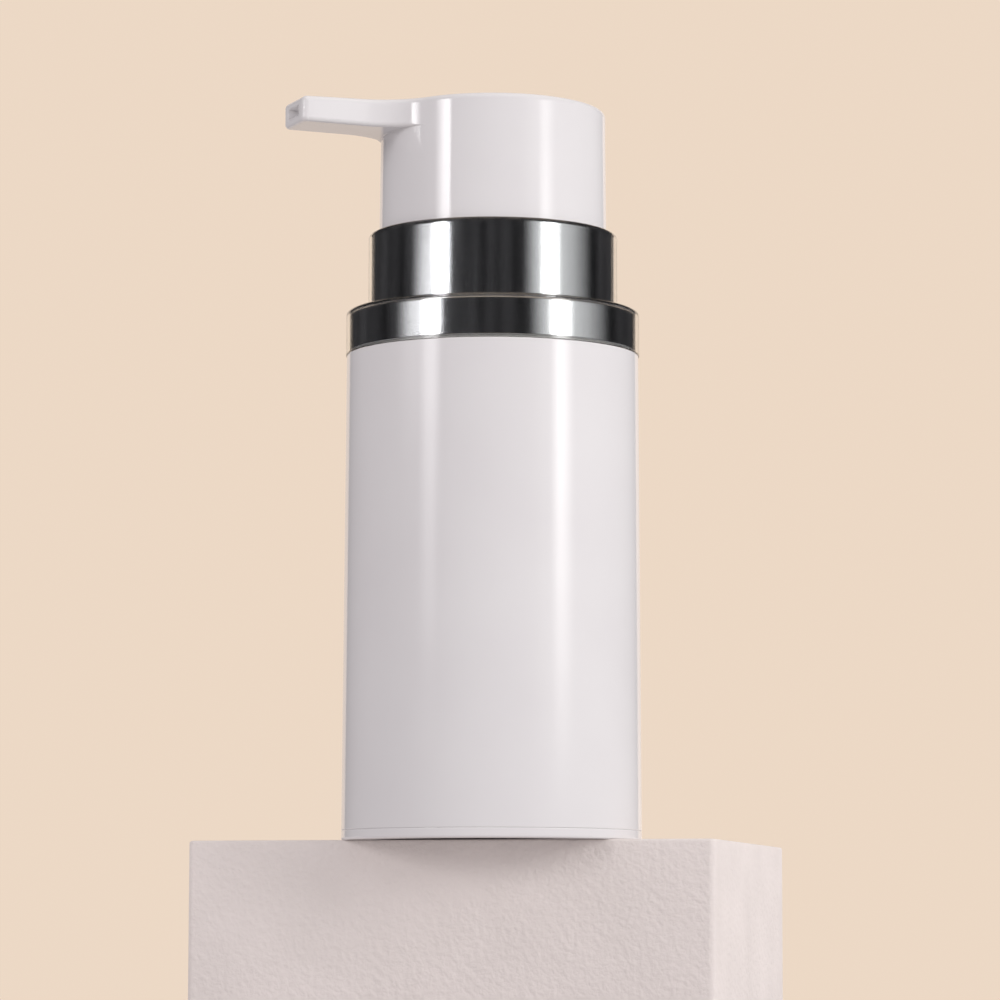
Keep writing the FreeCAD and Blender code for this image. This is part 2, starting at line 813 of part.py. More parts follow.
def cut_crown(body):
    """Takes the slab down to a shallow crown, a sphere whose apex lies over the stem."""
    sketch = new_sketch(body, "XZ_Plane")
    far = size.spout_reach + size.spout_width
    high = crown_top + size.head_thickness
    bend = size.crown_radius.value
    centre = FreeCAD.Vector(0, crown_top.value - bend, 0)
    swing = math.asin(far.value / bend)
    arc = sketch.addGeometry(Part.ArcOfCircle(
        Part.Circle(centre, FreeCAD.Vector(0, 0, 1), bend), math.pi / 2 - swing, math.pi / 2))
    low = FreeCAD.Vector(far.value, centre.y + bend * math.cos(swing), 0)
    corners = [low, FreeCAD.Vector(far.value, high.value, 0), FreeCAD.Vector(0, high.value, 0),
               FreeCAD.Vector(0, crown_top.value, 0)]
    lines = [sketch.addGeometry(Part.LineSegment(*ends)) for ends in zip(corners, corners[1:])]
    sketch.addConstraint(Sketcher.Constraint("Coincident", arc, 1, lines[0], 1))
    for before, after in zip(lines, lines[1:]):
        sketch.addConstraint(Sketcher.Constraint("Coincident", before, 2, after, 1))
    sketch.addConstraint(Sketcher.Constraint("Coincident", lines[2], 2, arc, 2))
    sketch.addConstraint(Sketcher.Constraint("PointOnObject", arc, 3, -2))
    sketch.addConstraint(Sketcher.Constraint("Vertical", lines[0]))
    bind_radius(sketch, arc, size.crown_radius)
    place_point(sketch, lines[1], 1, far, high)
    place_point(sketch, lines[2], 1, ZERO, high)
    place_point(sketch, lines[2], 2, ZERO, crown_top)
    cut = add_feature(body, "Groove", sketch)
    cut.ReferenceAxis = (sketch, ["V_Axis"])
    cut.Angle = 360
    doc.recompute()


def round_face_edge(body, face, radius):
    """Rounds the whole outer edge of a face of the body."""
    rim = [
        f"Edge{number}"
        for number, edge in enumerate(body.Shape.Edges, start=1)
        if any(edge.isSame(other) for other in face.OuterWire.Edges)
    ]
    base = body.Tip
    fillet = body.newObject("PartDesign::Fillet", f"{body.Label}_fillet")
    fillet.Base = (base, rim)
    fillet.setExpression("Radius", radius.formula)
    doc.recompute()


def make_actuator():
    """White push head: a crowned slab with the spout, a skirt, a stem socket, a duct and ribs."""
    body = new_body("actuator")
    slab = new_sketch(body, "XY_Plane", slab_under)
    draw_head_plan(slab)
    extrude(body, "Pad", slab, size.head_thickness)
    cut_crown(body)
    round_face_edge(body, max(body.Shape.Faces, key=lambda face: face.CenterOfMass.z), size.edge_round)
    round_face_edge(body, min(body.Shape.Faces, key=lambda face: face.CenterOfMass.z), size.under_round)
    turn(body, [
        (skirt_inner, skirt_under),
        (skirt_radius, skirt_under, size.skirt_round),
        (head_radius, slab_under),
        (head_radius, slab_under + size.under_round),
        (skirt_inner, slab_under + size.under_round),
    ])
    turn(body, box_corners(socket_bore, socket_radius, seat_top, slab_under))
    turn(body, box_corners(socket_radius, skirt_inner, slab_under, ceiling), "Groove")
    duct_half = size.channel_width / 2 + size.duct_wall
    duct = new_sketch(body, "XY_Plane", slab_under)
    draw_loop(duct, box_corners(-skirt_inner - size.skirt_wall / 2, -socket_bore, -duct_half, duct_half))
    extrude(body, "Pad", duct, size.head_thickness - size.top_wall)
    rib = new_sketch(body, "XZ_Plane")
    rib_start = socket_bore + size.socket_wall / 2
    rib_reach = skirt_inner + size.skirt_wall / 2
    draw_loop(rib, box_corners(rib_start, rib_reach, ceiling - size.rib_depth, ceiling))
    repeat(body, extrude(body, "Pad", rib, size.rib_thickness, both_ways=True), HEAD_RIBS)
    channel = new_sketch(body, "YZ_Plane")
    half = size.channel_width / 2
    draw_loop(channel, box_corners(-half, half, channel_under, channel_top))
    extrude(body, "Pocket", channel, size.spout_reach)
    turn(body, [
        (ZERO, seat_top),
        (socket_bore, seat_top),
        (socket_bore, slab_under),
        (size.stem_bore, slab_under),
        (size.stem_bore, channel_top),
        (ZERO, channel_top),
    ], "Groove")
    return body


pieces = [
    make_base_cap(),
    make_outer_shell(),
    make_inner_bottle(),
    make_follower(),
    make_neck_gasket(),
    make_closure_cap(),
    make_chrome_collar(),
    make_clear_collar(),
    make_pump_housing(),
    make_inlet_ball(),
    make_ball_cage(),
    make_stem_guide(),
    make_stem_seal(),
    make_stem(),
    make_valve_rod(),
    make_pump_piston(),
    make_return_spring(),
    make_actuator(),
]
doc.recompute()

for item in doc.Objects:
    if {"Invalid", "Error"} & set(item.State):
        raise RuntimeError(f"{item.Label} did not build: {item.State}")
for piece in pieces:
    if piece.Shape.isNull() or not piece.Shape.isValid() or len(piece.Shape.Solids) != 1:
        raise RuntimeError(f"{piece.Label} is not one valid solid")

os.makedirs("parts", exist_ok=True)
for piece in pieces:
    piece.Shape.exportStep(f"parts/{piece.Label}.step")
    print(f"{piece.Label}: {piece.Shape.Volume:.1f} mm3")
print(f"follower travel {follower_travel.value:.2f} mm")
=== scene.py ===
import bmesh
import bpy
import numpy as np
from mathutils import Matrix, Vector


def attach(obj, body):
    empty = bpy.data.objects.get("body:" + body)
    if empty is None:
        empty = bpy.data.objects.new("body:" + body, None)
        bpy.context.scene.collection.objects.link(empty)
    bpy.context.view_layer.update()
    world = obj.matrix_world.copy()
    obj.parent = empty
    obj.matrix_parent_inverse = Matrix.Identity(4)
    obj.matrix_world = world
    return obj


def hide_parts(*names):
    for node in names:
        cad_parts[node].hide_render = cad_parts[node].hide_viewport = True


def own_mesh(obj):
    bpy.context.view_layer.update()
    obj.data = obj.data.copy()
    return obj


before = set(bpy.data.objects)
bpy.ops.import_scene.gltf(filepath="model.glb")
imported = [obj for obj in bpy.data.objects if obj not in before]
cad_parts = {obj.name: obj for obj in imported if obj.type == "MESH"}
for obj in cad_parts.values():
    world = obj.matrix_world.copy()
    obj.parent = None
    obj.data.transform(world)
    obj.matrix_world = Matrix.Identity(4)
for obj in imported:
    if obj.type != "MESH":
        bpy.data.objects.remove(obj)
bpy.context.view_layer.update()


# Base cap: white polypropylene, injection moulded. Its plug wall presses into the bottle's bore. Its foot
# ring, flush with the outer shell, runs round a recess with the vent that lets air in below the follower.

MM = 0.001


def rounded_section(corners, spots=6):
    """A closed loop of straight runs whose corners are arcs, as an array of points in metres.

    Each corner is (across, up, round) in millimetres. Its arc touches both runs, so the arc's centre lies
    on the bisector at round / sin(half the corner's angle). One more point on each run, a tenth of the
    round past the arc, keeps the runs flat under smooth shading.
    """
    corner = np.asarray(corners, float) * MM
    spot, bend = corner[:, :2], corner[:, 2:]
    back = np.roll(spot, 1, axis=0) - spot
    back /= np.linalg.norm(back, axis=1, keepdims=True)
    ahead = np.roll(spot, -1, axis=0) - spot
    ahead /= np.linalg.norm(ahead, axis=1, keepdims=True)
    half = np.arccos(np.sum(back * ahead, axis=1, keepdims=True)) / 2
    inward = (back + ahead) / (2 * np.cos(half))
    across = (ahead - back) / (2 * np.sin(half))
    swing = ((np.pi / 2 - half) * np.linspace(-1, 1, spots))[..., None]
    centre = spot + inward * bend / np.sin(half)
    ray = across[:, None] * np.sin(swing) - inward[:, None] * np.cos(swing)
    arc = centre[:, None] + bend[:, None] * ray
    reach = bend / np.tan(half) + bend / 10
    lead, trail = spot + back * reach, spot + ahead * reach
    return np.concatenate([lead[:, None], arc, trail[:, None]], axis=1).reshape(-1, 2)


def joined(name, spots, quads):
    """A smooth piece of the points and quads, with coinciding points merged and faces turned outward."""
    mesh = bpy.data.meshes.new(name)
    mesh.from_pydata(spots.tolist(), [], quads.tolist())
    shape = bmesh.new()
    shape.from_mesh(mesh)
    bmesh.ops.remove_doubles(shape, verts=shape.verts, dist=1e-7)
    loose = [edge for edge in shape.edges if not edge.link_faces]
    bmesh.ops.delete(shape, geom=loose, context="EDGES")
    bmesh.ops.recalc_face_normals(shape, faces=shape.faces)
    shape.to_mesh(mesh)
    shape.free()
    mesh.shade_smooth()
    made = bpy.data.objects.new(name, mesh)
    bpy.context.scene.collection.objects.link(made)
    return made


def lattice(wide, tall):
    """The quads of a grid of points that joins up both ways, as rows of four point numbers."""
    number = np.arange(wide * tall).reshape(wide, tall)
    beside = np.roll(number, -1, axis=0)
    return np.stack([number, beside, np.roll(beside, -1, axis=1), np.roll(number, -1, axis=1)], axis=-1)


def turned(name, section, steps=192):
    """A half-section turned about the axis: its points (r, z) become (r cos a, r sin a, z) at each angle."""
    angle = np.linspace(0, 2 * np.pi, steps, endpoint=False)[:, None]
    radius, height = section.T
    grid = np.stack([radius * np.cos(angle), radius * np.sin(angle), height + 0 * angle], axis=-1)
    return joined(name, grid.reshape(-1, 3), lattice(steps, len(section)).reshape(-1, 4))


def add_node(tree, kind, inputs=(), **settings):
    """A shader node with its settings, whose inputs take plain values or other nodes' outputs."""
    node = tree.nodes.new(kind)
    for name, value in settings.items():
        setattr(node, name, value)
    for name, value in dict(inputs).items():
        if isinstance(value, bpy.types.NodeSocket):
            tree.links.new(value, node.inputs[name])
        else:
            node.inputs[name].default_value = value
    return node


def blank_material(name):
    """An empty node material, with the Object coordinates that its patterns are laid out in."""
    material = bpy.data.materials.new(name)
    material.use_nodes = True
    material.node_tree.nodes.clear()
    place = add_node(material.node_tree, "ShaderNodeTexCoord").outputs["Object"]
    return material, material.node_tree, place


def spread(tree, place, scale, low, high, detail=3.0):
    """Noise of the given scale per metre, whose middle range is stretched to run from low to high."""
    noise = add_node(tree, "ShaderNodeTexNoise", {"Vector": place, "Scale": scale, "Detail": detail})
    ends = {"From Min": 0.3, "From Max": 0.7, "To Min": low, "To Max": high}
    stretched = add_node(tree, "ShaderNodeMapRange", {"Value": noise.outputs["Fac"], **ends})
    return stretched.outputs["Result"]


def two_tones(tree, place, scale, dark, light):
    """A colour that drifts between two tones with noise of the given scale per metre."""
    drift = add_node(tree, "ShaderNodeValToRGB", {"Fac": spread(tree, place, scale, 0.0, 1.0)})
    drift.color_ramp.elements[0].color = (*dark, 1)
    drift.color_ramp.elements[1].color = (*light, 1)
    return drift.outputs["Color"]


def surface(tree, shader):
    """Makes the shader the surface of its material."""
    tree.links.new(shader.outputs[0], add_node(tree, "ShaderNodeOutputMaterial").inputs["Surface"])


def moulded_plastic(name, pale, shade, rough, grain):
    """Opaque moulded plastic: a tone that drifts from shade to pale over centimetres, roughness between
    two values over millimetres, and a fine skin off the mould of the grain's depth in metres."""
    material, tree, place = blank_material(name)
    skin = spread(tree, place, 2400.0, 0.0, 1.0, detail=2.0)
    bump = add_node(tree, "ShaderNodeBump", {"Height": skin, "Distance": grain, "Strength": 0.35})
    body = add_node(tree, "ShaderNodeBsdfPrincipled", {
        "Base Color": two_tones(tree, place, 48.0, shade, pale),
        "Roughness": spread(tree, place, 420.0, *rough),
        "Normal": bump.outputs["Normal"],
        "IOR": 1.49,
    })
    surface(tree, body)
    return material


def dress(made, material, body, slot, *nodes):
    """Gives a new piece its material, and puts it on its body in place of CAD nodes. The slot is not used.
    """
    made.data.materials.append(material)
    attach(made, body)
    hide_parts(*nodes)


white_gloss = moulded_plastic("white_gloss", pale=(0.80, 0.785, 0.79), shade=(0.775, 0.757, 0.765),
                              rough=(0.06, 0.10), grain=3e-6)
base_section = rounded_section([
    (1.2, 0.8, 0.1), (21.0, 0.8, 0.2), (21.0, 0.0, 0.25), (26.0, 0.0, 0.4), (26.0, 1.7, 0.15),
    (22.5, 1.7, 0.1), (22.5, 6.5, 0.3), (21.2, 6.5, 0.3), (21.2, 2.4, 0.3), (1.2, 2.4, 0.1),
])
dress(turned("base_foot", base_section), white_gloss, "bottle", "white_gloss", "base_cap")


# Inner bottle: white polypropylene, moulded with a straight bore that the follower wipes. Its rounded
# shoulder runs up to a neck whose outer bead snaps into the closure cap.

bottle_section = rounded_section([
    (22.6, 1.7, 0.15), (24.5, 1.7, 0.15), (24.0, 84.2, 1.2), (16.3, 84.2, 0.3), (16.3, 88.3, 0.2),
    (16.7, 89.1, 0.3), (16.3, 89.9, 0.2), (16.3, 94.0, 0.2), (14.5, 94.0, 0.2), (14.5, 82.6, 0.3),
    (22.6, 82.6, 0.3),
])
dress(turned("white_bottle", bottle_section), white_gloss, "bottle", "white_gloss", "inner_bottle")


# Outer shell: white ABS, a straight glossy sleeve with a slight draft. It slides down over the inner
# bottle and stands on the base cap's ring with a fine seam between them. The collar's cover stands on it.

shell_section = rounded_section([
    (24.7, 1.7, 0.1), (26.0, 1.7, 0.15), (25.5, 84.3, 0.15), (24.2, 84.3, 0.1),
])
dress(turned("white_sleeve", shell_section), white_gloss, "bottle", "white_gloss", "outer_shell")


# Follower and neck gasket: soft polyethylene. The follower's two lips wipe the bore as it rises in the
# emptying bottle. The gasket is a flat ring pinched between the neck and the pump's flange.

soft_pe = moulded_plastic("soft_pe", pale=(0.82, 0.81, 0.77), shade=(0.77, 0.76, 0.71),
                          rough=(0.42, 0.58), grain=1.2e-5)
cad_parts["follower_piston"].data.materials[0] = soft_pe
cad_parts["neck_gasket"].data.materials[0] = soft_pe


# Closure cap: natural polypropylene, satin off the mould. It snaps over the neck's bead and clamps the
# pump's flange on the gasket. Its outer ring carries the chrome collar.

natural_pp = moulded_plastic("natural_pp", pale=(0.74, 0.74, 0.71), shade=(0.68, 0.68, 0.65),
                             rough=(0.28, 0.42), grain=1e-5)
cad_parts["closure_cap"].data.materials[0] = natural_pp


# Chrome collar: thin moulded ABS, plated bright. A wide lower ring covers the shoulder, a tall upper ring
# surrounds the head, and the collar presses over the closure cap's outer ring.


def plated_metal(name, tone, rough, wave, peel):
    """Bright metal: a tint that drifts a little, a fine haze of roughness between two values, slow waves
    of the wave's depth and, over them, a fine orange peel of the peel's depth, both in metres."""
    material, tree, place = blank_material(name)
    sway = add_node(tree, "ShaderNodeBump", {
        "Height": spread(tree, place, 120.0, 0.0, 1.0),
        "Distance": wave,
        "Strength": 0.5,
    })
    bump = add_node(tree, "ShaderNodeBump", {
        "Height": spread(tree, place, 4000.0, 0.0, 1.0, detail=1.0),
        "Distance": peel,
        "Strength": 0.5,
        "Normal": sway.outputs["Normal"],
    })
    metal = add_node(tree, "ShaderNodeBsdfPrincipled", {
        "Base Color": two_tones(tree, place, 70.0, 0.94 * np.array(tone), tone),
        "Metallic": 1.0,
        "Roughness": spread(tree, place, 1900.0, *rough),
        "Normal": bump.outputs["Normal"],
    })
    surface(tree, metal)
    return material


chrome_plate = plated_metal("chrome_plate", (0.62, 0.63, 0.65), rough=(0.09, 0.13), wave=4e-6, peel=8e-6)
chrome_section = rounded_section([
    (20.15, 90.5, 0.1), (20.15, 105.65, 0.15), (20.87, 105.65, 0.25), (20.87, 91.3, 0.2),
    (24.7, 91.3, 0.25), (24.7, 84.9, 0.15), (23.98, 84.9, 0.1), (23.98, 90.5, 0.2),
])
dress(turned("plated_collar", chrome_section), chrome_plate, "bottle", "chrome_plate", "chrome_collar")


# Collar cover: clear styrene-acrylonitrile, moulded in the same two steps with rounded rims. It sits over
# the chrome with a hair's breadth of air between them, and shows as a clear edge down both sides.


def clear_plastic(name, tint, rough, wave):
    """Clear moulded plastic: glass with faint waves of the wave's depth in metres. Rays from lamps and
    from diffuse surfaces pass straight through, so that what stands behind it is lit as in the open."""
    material, tree, place = blank_material(name)
    ripple = spread(tree, place, 85.0, 0.0, 1.0)
    bump = add_node(tree, "ShaderNodeBump", {"Height": ripple, "Distance": wave, "Strength": 0.5})
    glass = add_node(tree, "ShaderNodeBsdfPrincipled", {
        "Base Color": (*tint, 1),
        "Roughness": spread(tree, place, 240.0, *rough),
        "Normal": bump.outputs["Normal"],
        "IOR": 1.57,
        "Transmission Weight": 1.0,
    })
    path = add_node(tree, "ShaderNodeLightPath")
    lit = {0: path.outputs["Is Shadow Ray"], 1: path.outputs["Is Diffuse Ray"]}
    either = add_node(tree, "ShaderNodeMath", lit, operation="MAXIMUM")
    through = add_node(tree, "ShaderNodeBsdfTransparent", {"Color": (0.97, 0.97, 0.97, 1)})
    pair = {0: either.outputs[0], 1: glass.outputs[0], 2: through.outputs[0]}
    surface(tree, add_node(tree, "ShaderNodeMixShader", pair))
    return material


clear_wall = clear_plastic("clear_wall", (0.985, 0.99, 0.985), rough=(0.012, 0.03), wave=1e-6)
cover_section = rounded_section([
    (20.97, 91.35, 0.12), (20.97, 105.65, 0.12), (21.82, 105.65, 0.7), (21.82, 92.0, 0.25),
    (25.65, 92.0, 0.7), (25.65, 84.3, 0.12), (24.8, 84.3, 0.1), (24.8, 91.35, 0.15),
])
dress(turned("clear_cover", cover_section), clear_wall, "bottle", "clear_wall", "clear_collar")


# Pump: natural polypropylene housing, cage and guide with a soft seal, hung in the neck by its flange. A
# steel ball on the housing's seat is the inlet valve.

for pump_node in ("pump_housing", "ball_cage", "stem_guide"):
    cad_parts[pump_node].data.materials[0] = natural_pp
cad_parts["stem_seal"].data.materials[0] = soft_pe
steel = plated_metal("steel", (0.60, 0.60, 0.62), rough=(0.16, 0.28), wave=8e-6, peel=8e-6)
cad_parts["inlet_ball"].data.materials[0] = steel


# Stem, valve rod and piston: a natural polypropylene stem and rod that move with the head, and a soft
# piston that slides on the stem by a fraction of a millimetre to open and shut the outlet ports.

for stem_node in ("stem", "valve_rod"):
    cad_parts[stem_node].data.materials[0] = natural_pp
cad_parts["pump_piston"].data.materials[0] = soft_pe


# Return spring: stainless spring wire wound cold, with a closed turn at each end. It stands on the
# closure cap and pushes the stem's seat, and with it the head, back up.

COIL, WIRE, TURNS, END_PITCH = 8.5, 1.0, 6.0, 1.5
SPRING_FOOT, SPRING_TOP, STROKE = 97.7, 118.5, 12.0


def wound_wire(steps=576, sides=16):
    """A wire along a helix: the centre line turns at the coil's radius and climbs by the end pitch over
    the first and last turn, by a steady pitch between, easing from one to the other over half a turn.

    The easing turns count half for each pitch, so the end pitch has two and a half turns in all.
    """
    turn = np.linspace(0, TURNS, steps)
    steady = (SPRING_TOP - SPRING_FOOT - WIRE - 2.5 * END_PITCH) / (TURNS - 2.5)
    pitch = np.interp(turn, [0, 1, 1.5, TURNS - 1.5, TURNS - 1, TURNS],
                      [END_PITCH, END_PITCH, steady, steady, END_PITCH, END_PITCH])
    step = np.diff(turn) * (pitch[1:] + pitch[:-1]) / 2
    climb = SPRING_FOOT + WIRE / 2 + np.concatenate([[0], np.cumsum(step)])
    angle = 2 * np.pi * turn
    outward = np.stack([np.cos(angle), np.sin(angle), 0 * angle], axis=-1)
    along = np.stack([-COIL * np.sin(angle), COIL * np.cos(angle), pitch / (2 * np.pi)], axis=-1)
    across = np.cross(along / np.linalg.norm(along, axis=1, keepdims=True), outward)
    centre = COIL * outward + climb[:, None] * [0, 0, 1]
    round_wire = np.linspace(0, 2 * np.pi, sides, endpoint=False)[:, None]
    thick = np.full(steps, WIRE / 2)
    thick[[0, -1]] = 0
    ring = np.cos(round_wire)[..., None] * outward + np.sin(round_wire)[..., None] * across
    grid = centre + thick[:, None] * ring
    return joined("spring_wire", grid.reshape(-1, 3) * MM, lattice(sides, steps).reshape(-1, 4))


spring = wound_wire()
dress(spring, steel, "bottle", "steel", "return_spring")
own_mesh(spring)


# Push head: white polypropylene, one moulding. A crowned slab runs out into a flat spout through two
# hollow blends, over a skirt that slides in the collar. Inside are the stem's socket, a duct and six ribs.

HEAD, BLEND, SPOUT_HALF, SPOUT_REACH, TIP_CORNER = 19.75, 11.0, 4.8, 37.5, 1.1
SLAB_UNDER, CROWN, CROWN_RADIUS, RIM_ROUND, UNDER_ROUND = 122.6, 127.7, 1150.0, 1.0, 0.75
DUCT_LOW, DUCT_HIGH, DUCT_HALF, DUCT_DEPTH = 123.9, 125.8, 2.55, 18.0


def head_plan():
    """The head's outline from above and its outward normals, from the back round to the tip and back.

    The circle, a hollow arc tangent to it, the spout's straight side, the tip's corner arc and half the
    tip follow each other. The other half mirrors them about the spout's centre line.
    """
    blend_y = SPOUT_HALF + BLEND
    blend_x = -np.sqrt((HEAD + BLEND) ** 2 - blend_y ** 2)
    lean = np.arctan2(blend_y, -blend_x)
    back = np.linspace(0, np.pi - lean, 80)
    hollow = np.linspace(-lean, -np.pi / 2, 24)[1:]
    bend = np.linspace(np.pi / 2, np.pi, 9)
    side_x = np.linspace(blend_x, TIP_CORNER - SPOUT_REACH, 10)[1:-1]
    tip_y = np.array([3.2, DUCT_HALF, 1.7, 0.85, 0.0])
    ray = [np.stack([np.cos(angle), np.sin(angle)], axis=-1) for angle in (back, hollow, bend)]
    spots = [
        HEAD * ray[0],
        [blend_x, blend_y] + BLEND * ray[1],
        np.stack([side_x, np.full(8, SPOUT_HALF)], axis=-1),
        [TIP_CORNER - SPOUT_REACH, SPOUT_HALF - TIP_CORNER] + TIP_CORNER * ray[2],
        np.stack([np.full(5, -SPOUT_REACH), tip_y], axis=-1),
    ]
    normals = [ray[0], -ray[1], np.tile([0.0, 1.0], (8, 1)), ray[2], np.tile([-1.0, 0.0], (5, 1))]
    spots, normals = np.concatenate(spots), np.concatenate(normals)
    mirror = [1, -1]
    spots = np.concatenate([spots, spots[-2:0:-1] * mirror])
    return spots, np.concatenate([normals, normals[-2:0:-1] * mirror])


def push_head():
    """A grid whose columns stand round the plan and whose rows run from the crown's spine over the rim,
    down the wall, under the spout to the skirt, down the skirt and up inside it to the stem's socket.

    The crown is a sphere, z = apex - r * r / (2 * crown radius). The rim and the spout's lower edge are
    arcs in the plane of the plan's normal. The lower edge's arc shrinks to nothing where the spout meets
    the skirt. The quads at the mouth are left out for the duct, which runs back from it and is closed.
    """
    plan, normal = head_plan()
    columns = len(plan)
    rim = plan - RIM_ROUND * normal
    spine = np.stack([np.clip(rim[:, 0], SPOUT_HALF - SPOUT_REACH, 0), 0 * rim[:, 0]], axis=-1)
    share = np.array([0, 0.35, 0.7, 0.9, 0.98])[:, None, None]
    top = spine + share * (rim - spine)
    crown = CROWN - np.sum(top ** 2, axis=-1, keepdims=True) / (2 * CROWN_RADIUS)
    rows = [np.concatenate([top, crown], axis=-1)]
    edge = CROWN - np.sum(rim ** 2, axis=-1) / (2 * CROWN_RADIUS) - RIM_ROUND
    swing = np.linspace(0, np.pi / 2, 8)[:, None]

    def stand(flat, height):
        """Rows of points over the plan points, at the heights."""
        height = np.broadcast_to(height, flat.shape[:-1])
        return np.concatenate([flat, height[..., None]], axis=-1)

    over = rim + RIM_ROUND * np.sin(swing)[..., None] * normal
    rows.append(stand(over, edge + RIM_ROUND * np.cos(swing)))
    gap = np.linalg.norm(plan, axis=1) - HEAD
    low = UNDER_ROUND * np.clip(gap, 0, 1)
    levels = np.stack([edge - 0.06, 0 * edge + DUCT_HIGH, 0 * edge + DUCT_LOW, SLAB_UNDER + low + 0.05])
    rows.append(stand(np.broadcast_to(plan, (4, columns, 2)), levels))
    inset = (low * (1 - np.cos(swing)))[..., None]
    rows.append(stand(plan - inset * normal, SLAB_UNDER + low * (1 - np.sin(swing))))
    under = plan - low[:, None] * normal
    ray = under / np.linalg.norm(under, axis=1, keepdims=True)
    share = np.array([0.02, 0.5, 0.98, 1])[:, None, None]
    rows.append(stand(under + share * (HEAD * ray - under), SLAB_UNDER))
    skirt = [(HEAD, SLAB_UNDER, 0.05), (19.95, 103.0, 0.4), (18.3, 103.0, 0.2)]
    ceiling = [(18.3, 126.1, 0.4), (5.2, 126.1, 0.4)]
    socket = [(5.2, 119.7, 0.15), (3.45, 119.7, 0.2), (3.45, 122.6, 0.1)]
    throat = [(2.2, 122.6, 0.1), (2.2, 125.8, 0.1), (0, 125.8, 0)]
    past_first_arc = 7
    inside = rounded_section(skirt + ceiling + socket + throat)[past_first_arc:] / MM
    rows.append(stand(inside[:, :1, None] * ray, inside[:, 1:]))
    grid = np.concatenate(rows)
    quads = lattice(len(grid), columns)
    spots = grid.reshape(-1, 3)
    duct_row = len(rows[0]) + len(rows[1]) + 1
    first = int(np.argmin(np.abs(plan - [-SPOUT_REACH, DUCT_HALF]).sum(axis=1)))
    last = int(np.argmin(np.abs(plan - [-SPOUT_REACH, -DUCT_HALF]).sum(axis=1)))
    kept = np.ones(quads.shape[:2], bool)
    kept[duct_row, first:last] = False
    kept[-1] = False
    mouth = np.concatenate([grid[duct_row, first:last + 1], grid[duct_row + 1, first:last + 1][::-1]])
    middle = mouth.mean(axis=0)
    narrow = middle + (mouth - middle) * [1, 0.955, 0.87]
    steps = [mouth, mouth + [0.03, 0, 0] + (narrow - mouth) * 0.3, narrow + [0.16, 0, 0],
             narrow + [DUCT_DEPTH, 0, 0], 0 * mouth + middle + [DUCT_DEPTH, 0, 0]]
    duct = np.stack(steps)
    duct_quads = lattice(len(duct), len(mouth))[:-1].reshape(-1, 4) + len(spots)
    spots = np.concatenate([spots, duct.reshape(-1, 3)])
    return joined("push_head", spots * MM, np.concatenate([quads[kept], duct_quads]))


head = push_head()
dress(head, white_gloss, "head", "white_gloss", "actuator")


def ribs_and_duct():
    """Plates between the socket and the skirt: a rounded rectangle of width and height carried out along
    each rib's ray, closed by its centre at both ends. The last, wider one is the duct's housing."""
    angle = np.radians([0, 60, 120, 180, 240, 300, 180])
    half = np.array([0.55] * 6 + [4.15])
    low = np.array([121.7] * 6 + [122.7])
    high = 126.2
    plates = []
    for way, wide, foot in zip(angle, half, low):
        corners = [(-wide, foot, 0.2), (wide, foot, 0.2), (wide, high, 0.2), (-wide, high, 0.2)]
        loop = rounded_section(corners) / MM
        ends = np.array([4.4, 4.4, 18.9, 18.9])[:, None]
        shrink = np.array([0, 1, 1, 0])[:, None, None]
        middle = np.array([0, (foot + high) / 2])
        flat = middle + shrink * (loop - middle)
        x = ends * np.cos(way) - flat[..., 0] * np.sin(way)
        y = ends * np.sin(way) + flat[..., 0] * np.cos(way)
        plates.append(np.stack([x, y, flat[..., 1]], axis=-1))
    grid = np.stack(plates)
    quads = lattice(*grid.shape[1:3])[:-1].reshape(-1, 4)
    shift = np.arange(len(grid))[:, None, None] * grid.shape[1] * grid.shape[2]
    return joined("head_ribs", grid.reshape(-1, 3) * MM, (quads + shift).reshape(-1, 4))


ribs = ribs_and_duct()
ribs.data.materials.append(white_gloss)
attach(ribs, "head")


# Stage: a pale plaster plinth, turned a little. Its front edge runs under the bottle, so that the bottle's
# foot stands out over it and shades its front.

TURN_TO_CAMERA = np.radians(23.3)
TO_RIGHT = np.array([np.cos(TURN_TO_CAMERA), -np.sin(TURN_TO_CAMERA), 0])
TO_FRONT = -np.array([np.sin(TURN_TO_CAMERA), np.cos(TURN_TO_CAMERA), 0])


def plinth():
    """A block with rounded edges: its rounded plan, drawn in towards the middle over the edge's arc."""
    corners = [(-52.7, 3.5, 1.0), (37.5, -21.5, 1.0), (53.9, 51.5, 1.0), (-36.0, 76.5, 1.0)]
    plan = rounded_section(corners) / MM
    middle = np.array([0.7, 27.5])
    half_width = 46.0
    swing = np.linspace(0, np.pi / 2, 6)
    inset = np.concatenate([[0, 0, 0], 0.5 * (1 - np.cos(swing)), [1.2, 20, half_width]])
    height = np.concatenate([[-150, -150, -2.0], -0.5 * (1 - np.sin(swing)), [0, 0, 0]])
    shrink = 1 - inset / half_width
    shrink[0] = 0
    flat = middle + shrink[:, None, None] * (plan - middle)
    spots = flat[..., :1] * TO_RIGHT - flat[..., 1:] * TO_FRONT + height[:, None, None] * [0, 0, 1]
    return joined("plinth", spots.reshape(-1, 3) * MM, lattice(len(flat), len(plan))[:-1].reshape(-1, 4))


block = plinth()
plaster, tree, place = blank_material("plaster")
pits = spread(tree, place, 900.0, 0.0, 1.0, detail=5.0)
plaster_bump = add_node(tree, "ShaderNodeBump", {"Height": pits, "Distance": 2.5e-4, "Strength": 0.5})
plaster_body = add_node(tree, "ShaderNodeBsdfPrincipled", {
    "Base Color": two_tones(tree, place, 60.0, (0.80, 0.735, 0.705), (0.86, 0.79, 0.76)),
    "Roughness": 0.85,
    "Normal": plaster_bump.outputs["Normal"],
})
surface(tree, plaster_body)
block.data.materials.append(plaster)


